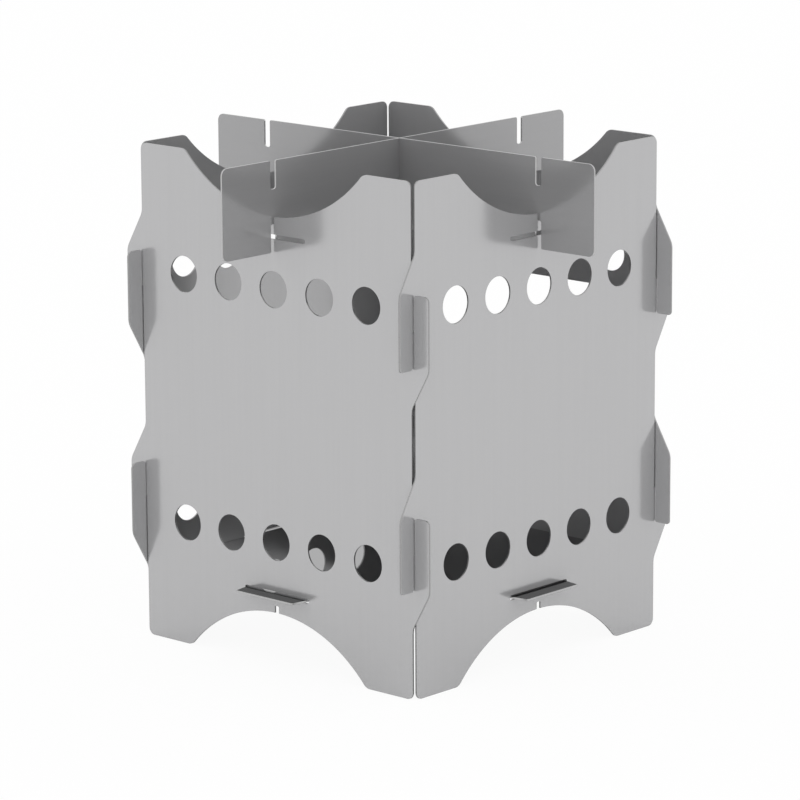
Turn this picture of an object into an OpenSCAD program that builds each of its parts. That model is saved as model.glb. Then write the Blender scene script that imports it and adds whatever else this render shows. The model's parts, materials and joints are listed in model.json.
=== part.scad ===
// Twig stove: four steel walls hooked into a square, a fire plate held by its tabs,
// and two pot supports that cross over the top. All sizes in millimetres.
// The feet stand on z = 0 and the stove is centred on the z axis.

/* [Sheet and clearances] */
// Thickness of every sheet
sheet = 0.5; // [0.4:0.05:0.8]
// Gap between a wall's edge and the inner face of the wall that it meets
corner_gap = 0.25; // [0.15:0.05:0.4]
// Side play of each pot support in the other one's middle slot, both sides together
lap_play = 0.3; // [0.2:0.05:0.5]

/* [Walls] */
// Width of a wall between its upright edges
body_w = 100; // [94:0.5:110]
// Height of a wall
body_h = 140; // [134:0.5:150]
// Radius of the wall's four outer corners
corner_r = 2; // [1:0.25:3]
// Radius of the arched cut-outs at the top and bottom of a wall
cut_r = 44; // [42:0.5:47]
// Depth of the arched cut-outs at the middle
cut_depth = 15; // [13:0.25:16]
// Radius where a cut-out meets the wall's top or foot
cut_round = 3; // [1:0.25:4]

/* [Hooks] */
// Height of the lower hooks above the feet, and of the upper ones below the top
hook_from_end = 40; // [38:0.5:43]
// Reach of a hook past the middle of the wall in its slit
hook_land = 5.5; // [5:0.25:7]
// Gap between a hook and the outer face of the wall in its slit
slit_gap = 0.25; // [0.2:0.05:0.6]
// Length of a hook's slit, from its mouth to its closed end
slit_len = 10; // [8:0.25:12]
// Height of a hook above its slit's closed end, where the slope meets the wall
hook_rise = 20.5; // [18:0.25:22]
// Lean of a hook's slope from upright, in degrees
hook_lean = 30; // [26:1:36]
// Radius at both ends of a hook's slope
hook_round = 5; // [3:0.25:6]
// Radius at the mouth of a hook's slit
mouth_round = 0.7; // [0.3:0.1:1]
// Radius of the outer corner of the hooks that point up
tip_up_round = 1.5; // [0.5:0.25:2]
// Radius of the outer corner of the hooks that point down
tip_down_round = 1; // [0.2:0.1:2]

/* [Air holes] */
// Diameter of an air hole
hole_d = 10.2; // [8:0.1:12]
// Distance between neighbouring air holes
hole_pitch = 17; // [15:0.1:18.5]
// Air holes in one row
holes_in_row = 5; // [3:1:5]
// Height of the lower row above the feet, and of the upper row below the top
row_from_end = 34.9; // [33:0.1:38]

/* [Slots and notches] */
// Height of the lower tab slot's middle above the feet, and of the upper one's below the top
slot_from_end = 20.4; // [19:0.1:22]
// Room for a tab in its slot, above and below together
slot_rise = 0.8; // [0.6:0.1:1.4]
// Room for a tab in its slot, left and right together
slot_side = 1; // [0.6:0.1:2]
// Room for a pot support in a wall's notch, both sides together
notch_play = 1; // [0.6:0.1:1.4]
// Depth of the notches in the middle of a wall's cut-outs
notch_depth = 2; // [1:0.25:2.5]
// Radius in the corners of the wall's notches
notch_round = 0.4; // [0.1:0.05:0.5]

/* [Feed opening in the back wall] */
// Width of the feed opening
feed_w = 60; // [50:1:70]
// Height of the feed opening
feed_h = 50; // [40:0.5:56]
// Strip of sheet between the feed opening and the air holes above it
feed_gap = 4.5; // [2:0.25:8]
// Radius of the feed opening's corners
feed_round = 3; // [1:0.5:8]

/* [Fire plate] */
// Gap between the fire plate's edge and a wall's inner face
plate_gap = 0.25; // [0.1:0.05:0.6]
// Width of a tab where it leaves the fire plate
tab_w = 23; // [18:0.5:26]
// Narrowing of a tab on each side from its root to its tip
tab_taper = 1; // [0.25:0.25:2]
// Reach of a tab past a wall's outer face
tab_reach = 5; // [3:0.25:7]
// Radius of a tab's two tip corners
tab_round = 0.4; // [0.2:0.1:1.5]

/* [Pot supports] */
// Length of a pot support
support_len = 140; // [134:1:156]
// Height of a pot support
support_h = 25; // [22:0.5:28]
// Radius of a pot support's corners
support_round = 2; // [1:0.25:4]
// Room for a wall in a pot support's notch, both sides together
saddle_play = 1.6; // [1:0.1:2.2]
// Depth of the notches in a pot support
saddle_depth = 7.75; // [6:0.25:9]
// Radius of the lead-in at a pot support's notches
saddle_lead = 0.5; // [0.2:0.1:0.8]
// Radius in the corners at the closed end of a pot support's notches
saddle_round = 0.7; // [0.3:0.05:0.75]

/* [Hidden] */
// Lines to a quarter turn, more or less, on the small rounded corners
steps = 8;
// Lines on a cut-out's arc
arc_steps = 64;
$fn = 96;
// Distance from the stove's axis to the middle of a wall's sheet
wall_mid = body_w / 2 + corner_gap + sheet / 2;
// Width of a hook's slit: its inner side is the wall's own edge
slit_w = corner_gap + sheet + slit_gap;
// Distance from a wall's middle line to its hooks' tips
hook_tip = wall_mid + hook_land;
// Height above the slit's closed end at which a hook starts to slope
hook_shoulder = hook_rise - (hook_tip - body_w / 2) / tan(hook_lean);
// Middle of a cut-out's circle above the wall's top
cut_up = cut_r - cut_depth;
// Distance from a wall's middle line to the middle of the rounding beside a cut-out
cut_side = sqrt(pow(cut_r + cut_round, 2) - pow(cut_up + cut_round, 2));
// Angle below level of the line that joins those two middles
cut_dip = atan2(cut_up + cut_round, cut_side);
notch_w = sheet + notch_play;
slot_w = tab_w + slot_side;
slot_h = sheet + slot_rise;
// Height of the feed opening's upper edge above the feet
feed_top = body_h - row_from_end - hole_d / 2 - feed_gap;
// Half the fire plate's width without its tabs
plate_half = wall_mid - sheet / 2 - plate_gap;
// Distance from the stove's axis to a tab's tip
tab_tip = wall_mid + sheet / 2 + tab_reach;
// Height of the wall notch's floor, which carries the pot supports
seat_z = body_h - cut_depth - notch_depth;
saddle_w = sheet + saddle_play;
// Lowest edge of the pot supports
support_z = seat_z - saddle_depth;
lap_w = sheet + lap_play;

// Points on an arc about c, from angle a to angle b
function arc(c, r, a, b, n) = [
    for (i = [0:n])
        let (t = a + (b - a) * i / n)
        [c[0] + r * cos(t), c[1] + r * sin(t)]
];

function unit(v) = v / norm(v);

// Corner at p with radius r, between the neighbouring points before and after it
function corner(before, p, after, r) =
    let (
        u = unit(before - p),
        v = unit(after - p),
        half = acos(u * v) / 2,
        c = p + unit(u + v) * r / sin(half),
        start = p + u * r / tan(half) - c,
        end = p + v * r / tan(half) - c,
        a = atan2(start[1], start[0]),
        turn = atan2(start[0] * end[1] - start[1] * end[0], start * end)
    )
    arc(c, r, a, a + turn, steps);

function flat(p) = [p[0], p[1]];

// Closed outline through points [x, y, radius], with each corner rounded
function rounded(pts) =
    let (n = len(pts))
    [
        for (i = [0:n - 1])
            each pts[i][2] > 0
                ? corner(
                    flat(pts[(i + n - 1) % n]), flat(pts[i]),
                    flat(pts[(i + 1) % n]), pts[i][2]
                )
                : [flat(pts[i])]
    ];

// Points that need no rounding of their own
function plain(pts) = [for (p = pts) [p[0], p[1], 0]];

// One hook on a wall's left edge, from below: slit open downwards, slope above it
function hook(z, tip_round) = [
    [-body_w / 2, z, 0],
    [-body_w / 2 - slit_w, z, 0],
    [-body_w / 2 - slit_w, z - slit_len, mouth_round],
    [-hook_tip, z - slit_len, tip_round],
    [-hook_tip, z + hook_shoulder, hook_round],
    [-body_w / 2, z + hook_rise, hook_round]
];

// Left edge and top of a wall, seen from outside
function half_wall(tip_round) = concat(
    [[-body_w / 2, 0, corner_r]],
    hook(hook_from_end, tip_round),
    hook(body_h - hook_from_end, tip_round),
    [[-body_w / 2, body_h, corner_r]],
    plain(arc([-cut_side, body_h - cut_round], cut_round, 90, cut_dip, steps)),
    plain(arc([0, body_h + cut_up], cut_r, 180 + cut_dip, 360 - cut_dip, arc_steps)),
    plain(arc([cut_side, body_h - cut_round], cut_round, 180 - cut_dip, 90, steps))
);

// The other half is the same turned half round, so its hooks point up
wall_outline = rounded(concat(
    half_wall(tip_down_round),
    [for (p = half_wall(tip_up_round)) [-p[0], body_h - p[1], p[2]]]
));

// Rectangle about the origin, w by h, with rounded corners
function rounded_box(w, h, r) = rounded([
    [-w / 2, -h / 2, r], [w / 2, -h / 2, r], [w / 2, h / 2, r], [-w / 2, h / 2, r]
]);

// One row of air holes
module hole_row(z) {
    for (i = [0:holes_in_row - 1])
        translate([(i - (holes_in_row - 1) / 2) * hole_pitch, z]) circle(d = hole_d);
}

// Slot with round ends for a fire plate's tab
module tab_slot(z) {
    translate([0, z]) {
        square([slot_w - slot_h, slot_h], center = true);
        for (side = [-1, 1])
            translate([side * (slot_w - slot_h) / 2, 0]) circle(d = slot_h);
    }
}

// Notch for a pot support, cut down from the middle of the top cut-out
module support_notch() {
    w = notch_w / 2;
    polygon(rounded([
        [-w, seat_z, notch_round], [w, seat_z, notch_round],
        [w, body_h - cut_depth + 1, 0], [-w, body_h - cut_depth + 1, 0]
    ]));
}

// A wall's sheet in its own plane, seen from outside
module wall_plan(lower_cuts = true) {
    difference() {
        polygon(wall_outline);
        hole_row(body_h - row_from_end);
        tab_slot(body_h - slot_from_end);
        if (lower_cuts) hole_row(row_from_end);
        if (lower_cuts) tab_slot(slot_from_end);
        support_notch();
        translate([0, body_h]) rotate(180) support_notch();
    }
}

// Stands a plan upright in its place as the wall that faces -Y, turned about the axis
module stand(turn, reach) {
    rotate([0, 0, turn]) translate([0, -reach, 0]) rotate([90, 0, 0])
        linear_extrude(sheet, center = true) children();
}

module wall_front() {
    color([0.72, 0.72, 0.73]) stand(0, wall_mid) wall_plan();
}

module wall_right() {
    color([0.72, 0.72, 0.73]) stand(90, wall_mid) wall_plan();
}

// The wall with the feed opening has no lower row of holes and no lower slot
module wall_back() {
    color([0.62, 0.62, 0.63]) stand(180, wall_mid) difference() {
        wall_plan(lower_cuts = false);
        translate([0, feed_top - feed_h / 2]) polygon(rounded_box(feed_w, feed_h, feed_round));
    }
}

module wall_left() {
    color([0.62, 0.62, 0.63]) stand(270, wall_mid) wall_plan();
}

// One side of the fire plate with its tab, the side that faces -Y
plate_side = [
    [-plate_half, -plate_half, 0],
    [-tab_w / 2, -plate_half, 0],
    [-tab_w / 2 + tab_taper, -tab_tip, tab_round],
    [tab_w / 2 - tab_taper, -tab_tip, tab_round],
    [tab_w / 2, -plate_half, 0]
];

function turned(p, k) = [
    p[0] * cos(90 * k) - p[1] * sin(90 * k),
    p[0] * sin(90 * k) + p[1] * cos(90 * k),
    p[2]
];

// The side towards the back wall has no tab, only its corner
plate_outline = rounded([
    for (k = [0:3])
        let (side = k == 2 ? [plate_side[0]] : plate_side)
        each [for (p = side) turned(p, k)]
]);

module fire_plate() {
    color([0.45, 0.45, 0.46]) translate([0, 0, slot_from_end])
        linear_extrude(sheet, center = true) polygon(plate_outline);
}

// Saddle notch at x = side, cut from the top edge down, with a rounded lead-in
module saddle(side) {
    w = saddle_w / 2;
    top = support_h / 2;
    translate([side * wall_mid, 0]) {
        polygon(rounded([
            [-w, top - saddle_depth, saddle_round], [w, top - saddle_depth, saddle_round],
            [w, top + 1, 0], [-w, top + 1, 0]
        ]));
        for (flip = [-1, 1])
            translate([flip * w, top])
                polygon(concat(
                    [[-flip * saddle_lead / 2, 1], [-flip * saddle_lead / 2, -saddle_lead]],
                    [
                        for (i = [0:steps])
                            let (t = 90 * i / steps)
                            [
                                flip * saddle_lead * (1 - cos(t)),
                                -saddle_lead * (1 - sin(t))
                            ]
                    ],
                    [[flip * saddle_lead, 1]]
                ));
    }
}

// A pot support's sheet in its own plane, with its middle slot open at the top
module support_plan() {
    difference() {
        polygon(rounded_box(support_len, support_h, support_round));
        for (side = [-1, 1]) {
            saddle(side);
            rotate(180) saddle(side);
        }
        translate([0, support_h / 2]) square([lap_w, support_h], center = true);
    }
}

module support_lower() {
    color([0.58, 0.58, 0.59]) translate([0, 0, support_z + support_h / 2])
        stand(90, 0) support_plan();
}

module support_upper() {
    color([0.58, 0.58, 0.59]) translate([0, 0, support_z + support_h / 2])
        stand(0, 0) rotate(180) support_plan();
}

wall_front();
wall_right();
wall_back();
wall_left();
fire_plate();
support_lower();
support_upper();
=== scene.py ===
"""Dresses the twig stove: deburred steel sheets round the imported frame, on a white studio floor."""

import json
import math

import bmesh
import bpy
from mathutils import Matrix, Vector


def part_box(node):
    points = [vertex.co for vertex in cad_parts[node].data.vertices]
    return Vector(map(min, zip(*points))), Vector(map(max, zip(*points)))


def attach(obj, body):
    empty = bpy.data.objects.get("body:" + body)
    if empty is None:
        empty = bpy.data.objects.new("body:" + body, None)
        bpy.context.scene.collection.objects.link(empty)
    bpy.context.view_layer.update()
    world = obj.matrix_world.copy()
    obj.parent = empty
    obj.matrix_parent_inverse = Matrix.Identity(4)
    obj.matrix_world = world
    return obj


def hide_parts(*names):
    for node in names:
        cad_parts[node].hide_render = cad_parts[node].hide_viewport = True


bl_info = {
    "name": "Twig Stove",
    "version": (1, 0, 0),
    "blender": (4, 5, 0),
    "location": "View3D > Sidebar > Twig Stove",
    "description": "Builds the steel sheets of a flat-pack twig stove and its studio stage",
    "category": "Add Mesh",
}

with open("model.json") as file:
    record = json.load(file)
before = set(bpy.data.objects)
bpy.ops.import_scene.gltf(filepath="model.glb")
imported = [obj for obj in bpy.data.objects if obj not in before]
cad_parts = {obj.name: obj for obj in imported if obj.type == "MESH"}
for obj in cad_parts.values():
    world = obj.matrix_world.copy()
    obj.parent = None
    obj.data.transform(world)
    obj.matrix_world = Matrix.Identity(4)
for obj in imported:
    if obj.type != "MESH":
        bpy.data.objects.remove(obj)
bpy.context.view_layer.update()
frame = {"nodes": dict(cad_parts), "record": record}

MM = 0.001
WALLS = ("wall_front", "wall_right", "wall_back", "wall_left")
SUPPORTS = ("support_lower", "support_upper")
BODY_OF = {node: body for body, nodes in frame["record"]["behaviour"]["bodies"].items() for node in nodes}

# Vertices closer than this are one, and faces within this angle lie in one plane
WELD = 0.002 * MM
FLAT_ANGLE = math.radians(0.2)
# Share of a face's normal along the sheet's thin axis, over which it is a rolled face
FACING = 0.9
# How much the large faces rule the shading of the bevels beside them, of 100
FLAT_PULL = 80

# Patterns in the steel: how many to a metre, and how many finer layers each has
GRAIN = (900.0, 3.0)
CUT_GRAIN = (4200.0, 2.0)
POLISH = (34.0, 2.0)
RIPPLE = (16.0, 0.0)
# Strength of a pattern's finer layers, and the middle of its range, which is put to use
LAYER_ROUGH = 0.6
MIDDLE = (0.3, 0.7)
# Scale along the grain, and that of a pattern that is the same all ways
STRETCH = 0.02
EVEN = (1.0, 1.0, 1.0)
# Changes of tone and polish that the patterns make, and the depth of the lines on a cut edge
ROLLED_TONE = (0.99, 1.01)
ROLLED_POLISH = (0.88, 1.12)
CUT_TONE = (0.94, 1.06)
CUT_POLISH = 0.06
CUT_DEPTH = 0.002 * MM
# Shifts of the patterns, so that no two sheets are alike
WALL_SEAT = (0.31, 0.17, 0.05)
PLATE_SEAT = (0.7, 0.4, 0.9)
SUPPORT_SEATS = ((0.11, 0.6, 0.2), (0.61, 0.6, 0.2))

# Studio: half the floor's side, the lamps' side and places, and the point that they look at
FLOOR_HALF = 6.0
LAMP_SIZE = 1.6
LAMPS = {"lamp_left": (-1.2, -1.5, 1.9), "lamp_right": (1.9, 0.6, 1.9)}
LAMP_AIM = (0.0, 0.0, 0.07)

# Camera at the photograph's viewing angle, for a square frame
EYE = (0.78138, -0.85841, 0.32399)
TURN = (77.4788, 0.2918, 42.2559)
LENS = 191.46
SENSOR = 36.0


class SheetSizes(bpy.types.PropertyGroup):
    """How the edges of a cut sheet are finished."""

    deburr: bpy.props.FloatProperty(
        name="Deburred edge",
        description="Width of the small bevel along every cut edge",
        default=0.05 * MM,
        min=0.01 * MM,
        max=0.15 * MM,
        precision=6,
        unit="LENGTH",
    )
    deburr_steps: bpy.props.IntProperty(
        name="Bevel steps",
        description="Faces across the bevel of a cut edge",
        default=2,
        min=1,
        max=4,
    )


class SteelFinish(bpy.types.PropertyGroup):
    """Colour and polish of the rolled steel."""

    wall_colour: bpy.props.FloatVectorProperty(
        name="Walls",
        description="Colour of the walls' rolled faces",
        default=(0.5, 0.5, 0.505),
        size=3,
        min=0.0,
        max=1.0,
        subtype="COLOR",
    )
    wall_shine: bpy.props.FloatProperty(
        name="Walls' shine",
        description="Share of the light that the walls mirror rather than scatter",
        default=0.6,
        min=0.0,
        max=1.0,
        subtype="FACTOR",
    )
    wall_rough: bpy.props.FloatProperty(
        name="Walls' roughness",
        description="Roughness of the walls' rolled faces",
        default=0.17,
        min=0.02,
        max=0.8,
        subtype="FACTOR",
    )
    support_colour: bpy.props.FloatVectorProperty(
        name="Pot supports",
        description="Colour of the pot supports' rolled faces",
        default=(0.39, 0.39, 0.394),
        size=3,
        min=0.0,
        max=1.0,
        subtype="COLOR",
    )
    support_shine: bpy.props.FloatProperty(
        name="Pot supports' shine",
        description="Share of the light that the pot supports mirror rather than scatter",
        default=0.5,
        min=0.0,
        max=1.0,
        subtype="FACTOR",
    )
    support_rough: bpy.props.FloatProperty(
        name="Pot supports' roughness",
        description="Roughness of the pot supports' rolled faces",
        default=0.17,
        min=0.02,
        max=0.8,
        subtype="FACTOR",
    )
    plate_colour: bpy.props.FloatVectorProperty(
        name="Fire plate",
        description="Colour of the fire plate's rolled faces",
        default=(0.45, 0.45, 0.454),
        size=3,
        min=0.0,
        max=1.0,
        subtype="COLOR",
    )
    plate_shine: bpy.props.FloatProperty(
        name="Fire plate's shine",
        description="Share of the light that the fire plate mirrors rather than scatters",
        default=1.0,
        min=0.0,
        max=1.0,
        subtype="FACTOR",
    )
    plate_rough: bpy.props.FloatProperty(
        name="Fire plate's roughness",
        description="Roughness of the fire plate's rolled faces",
        default=0.03,
        min=0.02,
        max=0.8,
        subtype="FACTOR",
    )
    # Painted shade: the fire plate's tabs outside the walls are darkened in colour to this share of its
    # brightness
    tab_painted_shade: bpy.props.FloatProperty(
        name="Tabs' brightness",
        description="Share of the fire plate's brightness on its tabs, which rub through the slots",
        default=0.28,
        min=0.0,
        max=1.0,
        subtype="FACTOR",
    )
    edge_tint: bpy.props.FloatVectorProperty(
        name="Edge tint",
        description="How bright the rolled faces are at a grazing angle",
        default=(0.7, 0.7, 0.7),
        size=3,
        min=0.0,
        max=1.0,
        subtype="COLOR",
    )
    wall_cut_colour: bpy.props.FloatVectorProperty(
        name="Walls' cut edge",
        description="Colour of the walls' cut edges",
        default=(0.34, 0.34, 0.34),
        size=3,
        min=0.0,
        max=1.0,
        subtype="COLOR",
    )
    support_cut_colour: bpy.props.FloatVectorProperty(
        name="Pot supports' cut edge",
        description="Colour of the pot supports' cut edges",
        default=(0.5, 0.5, 0.5),
        size=3,
        min=0.0,
        max=1.0,
        subtype="COLOR",
    )
    plate_cut_colour: bpy.props.FloatVectorProperty(
        name="Fire plate's cut edge",
        description="Colour of the cut edges of the fire plate and its tabs",
        default=(0.5, 0.5, 0.5),
        size=3,
        min=0.0,
        max=1.0,
        subtype="COLOR",
    )
    cut_rough: bpy.props.FloatProperty(
        name="Cut roughness",
        description="Roughness of the cut edges",
        default=0.32,
        min=0.02,
        max=0.8,
        subtype="FACTOR",
    )
    grain_depth: bpy.props.FloatProperty(
        name="Grain depth",
        description="Depth of the rolling grain",
        default=0.0002 * MM,
        min=0.0,
        max=0.01 * MM,
        precision=8,
        unit="LENGTH",
    )
    ripple_depth: bpy.props.FloatProperty(
        name="Ripple depth",
        description="Depth of the slow ripple left in a thin sheet",
        default=0.01 * MM,
        min=0.0,
        max=0.2 * MM,
        precision=6,
        unit="LENGTH",
    )


class StageLight(bpy.types.PropertyGroup):
    """The white studio round the stove."""

    floor_colour: bpy.props.FloatVectorProperty(
        name="Floor",
        description="Colour of the studio floor",
        default=(0.92, 0.92, 0.92),
        size=3,
        min=0.0,
        max=1.0,
        subtype="COLOR",
    )
    floor_white: bpy.props.FloatProperty(
        name="White floor",
        description="Share of plain white that the camera sees in the floor",
        default=0.94,
        min=0.0,
        max=1.0,
        subtype="FACTOR",
    )
    mirrored_white: bpy.props.FloatProperty(
        name="White in reflections",
        description="Share of plain white that the steel mirrors in the floor",
        default=0.3,
        min=0.0,
        max=1.0,
        subtype="FACTOR",
    )
    lamp_power: bpy.props.FloatProperty(
        name="Lamps",
        description="Power of each soft lamp",
        default=1.0,
        min=0.0,
        unit="POWER",
    )


def node(tree, kind, **values):
    """Adds a shader node, setting its properties and the defaults of its named inputs."""
    made = tree.nodes.new(kind)
    for key, value in values.items():
        if hasattr(made, key):
            setattr(made, key, value)
        else:
            made.inputs[key.replace("_", " ")].default_value = value
    return made


def joined(tree, operation, first, second):
    """A Math node's result from two values."""
    made = node(tree, "ShaderNodeMath", operation=operation)
    tree.links.new(first, made.inputs[0])
    tree.links.new(second, made.inputs[1])
    return made.outputs["Value"]


def grained(tree, seat, pattern, stretch):
    """A pattern of noise on Object coordinates, shifted by seat and stretched along the grain."""
    scale, detail = pattern
    fit = node(tree, "ShaderNodeMapping", Scale=stretch, Location=seat)
    noise = node(tree, "ShaderNodeTexNoise", Scale=scale, Detail=detail, Roughness=LAYER_ROUGH)
    where = node(tree, "ShaderNodeTexCoord")
    tree.links.new(where.outputs["Object"], fit.inputs["Vector"])
    tree.links.new(fit.outputs["Vector"], noise.inputs["Vector"])
    return noise


def spread(tree, noise, low, high):
    """The middle of a noise's range, stretched to run from low to high."""
    bottom, top = MIDDLE
    made = node(tree, "ShaderNodeMapRange", From_Min=bottom, From_Max=top, To_Min=low, To_Max=high)
    tree.links.new(noise.outputs["Fac"], made.inputs["Value"])
    return made.outputs["Result"]


def bumped(tree, noise, depth):
    """A noise raised to a depth in metres."""
    made = node(tree, "ShaderNodeBump", Strength=1.0, Distance=depth)
    tree.links.new(noise.outputs["Fac"], made.inputs["Height"])
    return made


def bare_steel(name, **values):
    """A new material with one Principled shader, its tree and that shader."""
    made = bpy.data.materials.new(name)
    made.use_nodes = True
    tree = made.node_tree
    tree.nodes.clear()
    out = node(tree, "ShaderNodeOutputMaterial")
    steel = node(tree, "ShaderNodeBsdfPrincipled", **values)
    tree.links.new(steel.outputs["BSDF"], out.inputs["Surface"])
    return made, tree, steel


def toned(tree, steel, colour, tone):
    """Links a colour, made lighter and darker by tone, to the steel."""
    tint = node(tree, "ShaderNodeVectorMath", operation="SCALE")
    tint.inputs[0].default_value = tuple(colour)
    tree.links.new(tone, tint.inputs["Scale"])
    tree.links.new(tint.outputs["Vector"], steel.inputs["Base Color"])


def tabs_painted_shade(tree, brightness):
    """Painted shade on the fire plate's tabs: 1 inside the walls, falling through a wall's thickness to
    the tabs' brightness outside.
    """
    inner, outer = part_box("wall_right")
    where = node(tree, "ShaderNodeTexCoord")
    parts = node(tree, "ShaderNodeSeparateXYZ")
    tree.links.new(where.outputs["Object"], parts.inputs["Vector"])
    sides = []
    for axis in ("X", "Y"):
        side = node(tree, "ShaderNodeMath", operation="ABSOLUTE")
        tree.links.new(parts.outputs[axis], side.inputs[0])
        sides.append(side.outputs["Value"])
    painted_tab_shade = node(
        tree, "ShaderNodeMapRange", From_Min=inner[0], From_Max=outer[0], To_Min=1.0, To_Max=brightness
    )
    tree.links.new(joined(tree, "MAXIMUM", *sides), painted_tab_shade.inputs["Value"])
    return painted_tab_shade.outputs["Result"]


def rolled_steel(name, finish, kind, seat, grain):
    """Satin rolled steel: faint grain along one axis, slow ripple and small changes of polish, and on the
    fire plate painted shade on the tabs.
    """
    shine = getattr(finish, kind + "_shine")
    rough = getattr(finish, kind + "_rough")
    made, tree, steel = bare_steel(name, Metallic=shine, Specular_Tint=(*finish.edge_tint, 1.0))

    lines = grained(tree, seat, GRAIN, grain)
    clouds = grained(tree, seat, POLISH, EVEN)
    ripple = grained(tree, seat, RIPPLE, EVEN)

    tone = spread(tree, lines, *ROLLED_TONE)
    # Painted shade: the fire plate's colour darkens on its tabs outside the walls
    if kind == "plate":
        tone = joined(tree, "MULTIPLY", tone, tabs_painted_shade(tree, finish.tab_painted_shade))
    toned(tree, steel, getattr(finish, kind + "_colour"), tone)

    polish = spread(tree, clouds, *[share * rough for share in ROLLED_POLISH])
    tree.links.new(polish, steel.inputs["Roughness"])

    slow = bumped(tree, ripple, finish.ripple_depth)
    fine = bumped(tree, lines, finish.grain_depth)
    tree.links.new(slow.outputs["Normal"], fine.inputs["Normal"])
    tree.links.new(fine.outputs["Normal"], steel.inputs["Normal"])
    return made


def cut_steel(name, finish, kind, seat, across):
    """The cut edge of a sheet: rougher, with fine lines across its thickness."""
    made, tree, steel = bare_steel(name, Metallic=1.0)
    lines = grained(tree, seat, CUT_GRAIN, across)
    toned(tree, steel, getattr(finish, kind + "_cut_colour"), spread(tree, lines, *CUT_TONE))
    rough = spread(tree, lines, finish.cut_rough - CUT_POLISH, finish.cut_rough + CUT_POLISH)
    tree.links.new(rough, steel.inputs["Roughness"])
    tree.links.new(bumped(tree, lines, CUT_DEPTH).outputs["Normal"], steel.inputs["Normal"])
    return made


def thin_axis(name):
    """Index of the axis that a sheet is thin along."""
    low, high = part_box(name)
    spans = [high[i] - low[i] for i in range(3)]
    return spans.index(min(spans))


def sheet_piece(name, sizes):
    """A deburred copy of a cut sheet: its flat faces whole, and a small bevel along every cut edge."""
    thin = thin_axis(name)
    bm = bmesh.new()
    bm.from_mesh(frame["nodes"][name].data)
    bmesh.ops.remove_doubles(bm, verts=bm.verts, dist=WELD)
    bmesh.ops.dissolve_limit(
        bm, angle_limit=FLAT_ANGLE, verts=bm.verts, edges=bm.edges, delimit={"NORMAL"}
    )
    bm.normal_update()
    for face in bm.faces:
        face.material_index = 0 if abs(face.normal[thin]) > FACING else 1
        face.smooth = True
    rims = [
        edge
        for edge in bm.edges
        if len(edge.link_faces) == 2
        and edge.link_faces[0].material_index != edge.link_faces[1].material_index
    ]
    bmesh.ops.bevel(
        bm,
        geom=rims,
        offset=sizes.deburr,
        offset_type="OFFSET",
        segments=sizes.deburr_steps,
        profile=0.5,
        affect="EDGES",
        material=-1,
        clamp_overlap=True,
    )
    mesh = bpy.data.meshes.new(name + "_sheet")
    bm.to_mesh(mesh)
    bm.free()
    made = bpy.data.objects.new(name + "_sheet", mesh)
    bpy.context.scene.collection.objects.link(made)
    flatten = made.modifiers.new("Flat faces", "WEIGHTED_NORMAL")
    flatten.mode = "FACE_AREA"
    flatten.weight = FLAT_PULL
    return made


def dress(name, sizes, finish, kind, grain_axis, seat):
    """Puts a finished sheet in the place of its frame node."""
    made = sheet_piece(name, sizes)
    thin = thin_axis(name)
    grain = [STRETCH if axis == grain_axis else 1.0 for axis in range(3)]
    across = [STRETCH if axis == thin else 1.0 for axis in range(3)]
    made.data.materials.append(rolled_steel(name + "_rolled", finish, kind, seat, grain))
    made.data.materials.append(cut_steel(name + "_cut", finish, kind, seat, across))
    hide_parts(name)
    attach(made, BODY_OF[name])
    return made


class STOVE_OT_walls(bpy.types.Operator):
    """Build the four hooked walls"""

    bl_idname = "stove.walls"
    bl_label = "Walls"

    def execute(self, context):
        scene = context.scene
        for i, name in enumerate(WALLS):
            seat = [shift * i for shift in WALL_SEAT]
            dress(name, scene.stove_sheets, scene.stove_steel, "wall", 2, seat)
        return {"FINISHED"}


class STOVE_OT_fire_plate(bpy.types.Operator):
    """Build the plate that carries the fire"""

    bl_idname = "stove.fire_plate"
    bl_label = "Fire plate"

    def execute(self, context):
        scene = context.scene
        dress("fire_plate", scene.stove_sheets, scene.stove_steel, "plate", 0, PLATE_SEAT)
        return {"FINISHED"}


class STOVE_OT_supports(bpy.types.Operator):
    """Build the two crossed pot supports"""

    bl_idname = "stove.supports"
    bl_label = "Pot supports"

    def execute(self, context):
        scene = context.scene
        for name, grain_axis, seat in zip(SUPPORTS, (1, 0), SUPPORT_SEATS):
            dress(name, scene.stove_sheets, scene.stove_steel, "support", grain_axis, seat)
        return {"FINISHED"}


def white_world(scene):
    """The same plain white all round, for the eye, for reflections and as light."""
    world = bpy.data.worlds.new("Studio")
    scene.world = world
    world.use_nodes = True
    tree = world.node_tree
    tree.nodes.clear()
    out = node(tree, "ShaderNodeOutputWorld")
    white = node(tree, "ShaderNodeBackground", Color=(1.0, 1.0, 1.0, 1.0), Strength=1.0)
    tree.links.new(white.outputs["Background"], out.inputs["Surface"])


def weighted(tree, ray, weight):
    """A Light Path output times a weight."""
    share = node(tree, "ShaderNodeMath", operation="MULTIPLY")
    share.inputs[1].default_value = weight
    tree.links.new(ray, share.inputs[0])
    return share.outputs["Value"]


def white_share(tree, light):
    """Share of plain white in the floor: most for the eye and clear things, some in reflections."""
    path = node(tree, "ShaderNodeLightPath")
    parts = [
        weighted(tree, path.outputs["Is Camera Ray"], light.floor_white),
        weighted(tree, path.outputs["Is Transmission Ray"], light.floor_white),
        weighted(tree, path.outputs["Is Glossy Ray"], light.mirrored_white),
    ]
    total = parts[0]
    for part in parts[1:]:
        total = joined(tree, "MAXIMUM", total, part)
    return total


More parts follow.
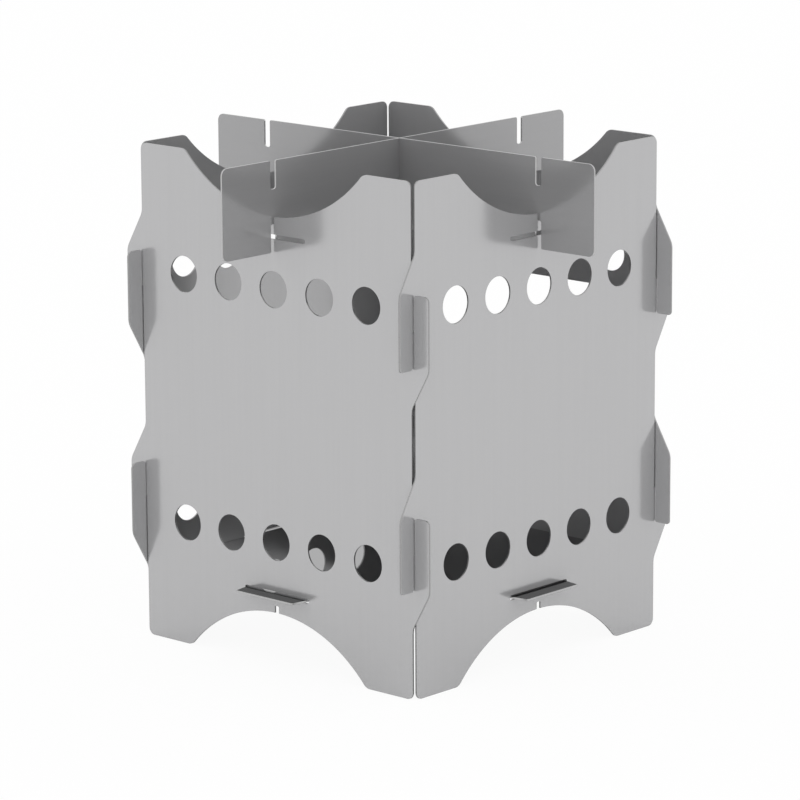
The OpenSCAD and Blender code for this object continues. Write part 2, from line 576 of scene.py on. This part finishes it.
def white_floor(scene, light):
    """A pale floor that keeps the stove's shadow and shows the camera mostly white."""
    bm = bmesh.new()
    bmesh.ops.create_grid(bm, x_segments=1, y_segments=1, size=FLOOR_HALF)
    mesh = bpy.data.meshes.new("studio_floor")
    bm.to_mesh(mesh)
    bm.free()
    floor = bpy.data.objects.new("studio_floor", mesh)
    scene.collection.objects.link(floor)
    made = bpy.data.materials.new("Studio floor")
    made.use_nodes = True
    tree = made.node_tree
    tree.nodes.clear()
    out = node(tree, "ShaderNodeOutputMaterial")
    card = node(tree, "ShaderNodeBsdfDiffuse", Color=(*light.floor_colour, 1.0))
    glow = node(tree, "ShaderNodeEmission", Color=(1.0, 1.0, 1.0, 1.0), Strength=1.0)
    mix = node(tree, "ShaderNodeMixShader")
    tree.links.new(white_share(tree, light), mix.inputs["Fac"])
    tree.links.new(card.outputs["BSDF"], mix.inputs[1])
    tree.links.new(glow.outputs["Emission"], mix.inputs[2])
    tree.links.new(mix.outputs["Shader"], out.inputs["Surface"])
    mesh.materials.append(made)


def soft_lamp(scene, name, place, power):
    """A square soft lamp at place that looks at the middle of the stove."""
    lamp = bpy.data.lights.new(name, "AREA")
    lamp.shape = "SQUARE"
    lamp.size = LAMP_SIZE
    lamp.energy = power
    holder = bpy.data.objects.new(name, lamp)
    holder.location = place
    look = Vector(LAMP_AIM) - Vector(place)
    holder.rotation_euler = look.to_track_quat("-Z", "Y").to_euler()
    scene.collection.objects.link(holder)


def front_camera(scene):
    """The camera that the render is taken from."""
    eye = bpy.data.cameras.new("Camera")
    eye.lens = LENS
    eye.sensor_width = SENSOR
    eye.clip_start = 0.01
    eye.clip_end = 50.0
    camera = bpy.data.objects.new("Camera", eye)
    camera.location = EYE
    camera.rotation_euler = [math.radians(angle) for angle in TURN]
    scene.collection.objects.link(camera)
    scene.camera = camera


class STOVE_OT_stage(bpy.types.Operator):
    """Set the white studio, its lamps and the camera"""

    bl_idname = "stove.stage"
    bl_label = "Stage"

    def execute(self, context):
        scene = context.scene
        light = scene.stove_stage
        white_world(scene)
        white_floor(scene, light)
        for name, place in LAMPS.items():
            soft_lamp(scene, name, place, light.lamp_power)
        front_camera(scene)
        scene.view_settings.view_transform = "Standard"
        return {"FINISHED"}


class STOVE_PT_panel(bpy.types.Panel):
    """Twig stove pieces"""

    bl_idname = "STOVE_PT_panel"
    bl_label = "Twig Stove"
    bl_space_type = "VIEW_3D"
    bl_region_type = "UI"
    bl_category = "Twig Stove"

    def draw(self, context):
        scene = context.scene
        layout = self.layout
        for group in (scene.stove_sheets, scene.stove_steel, scene.stove_stage):
            box = layout.box()
            for key in group.__annotations__:
                box.prop(group, key)
        for piece in PIECES:
            layout.operator(piece.bl_idname)


PIECES = (STOVE_OT_walls, STOVE_OT_fire_plate, STOVE_OT_supports, STOVE_OT_stage)
GROUPS = {"stove_sheets": SheetSizes, "stove_steel": SteelFinish, "stove_stage": StageLight}


def register():
    for kind in (*GROUPS.values(), *PIECES, STOVE_PT_panel):
        bpy.utils.register_class(kind)
    for name, kind in GROUPS.items():
        setattr(bpy.types.Scene, name, bpy.props.PointerProperty(type=kind))


def unregister():
    for name in GROUPS:
        delattr(bpy.types.Scene, name)
    for kind in (STOVE_PT_panel, *reversed(PIECES), *reversed(GROUPS.values())):
        bpy.utils.unregister_class(kind)


def main():
    register()
    bpy.ops.stove.walls()
    bpy.ops.stove.fire_plate()
    bpy.ops.stove.supports()
    bpy.ops.stove.stage()


if __name__ == "__main__":
    main()
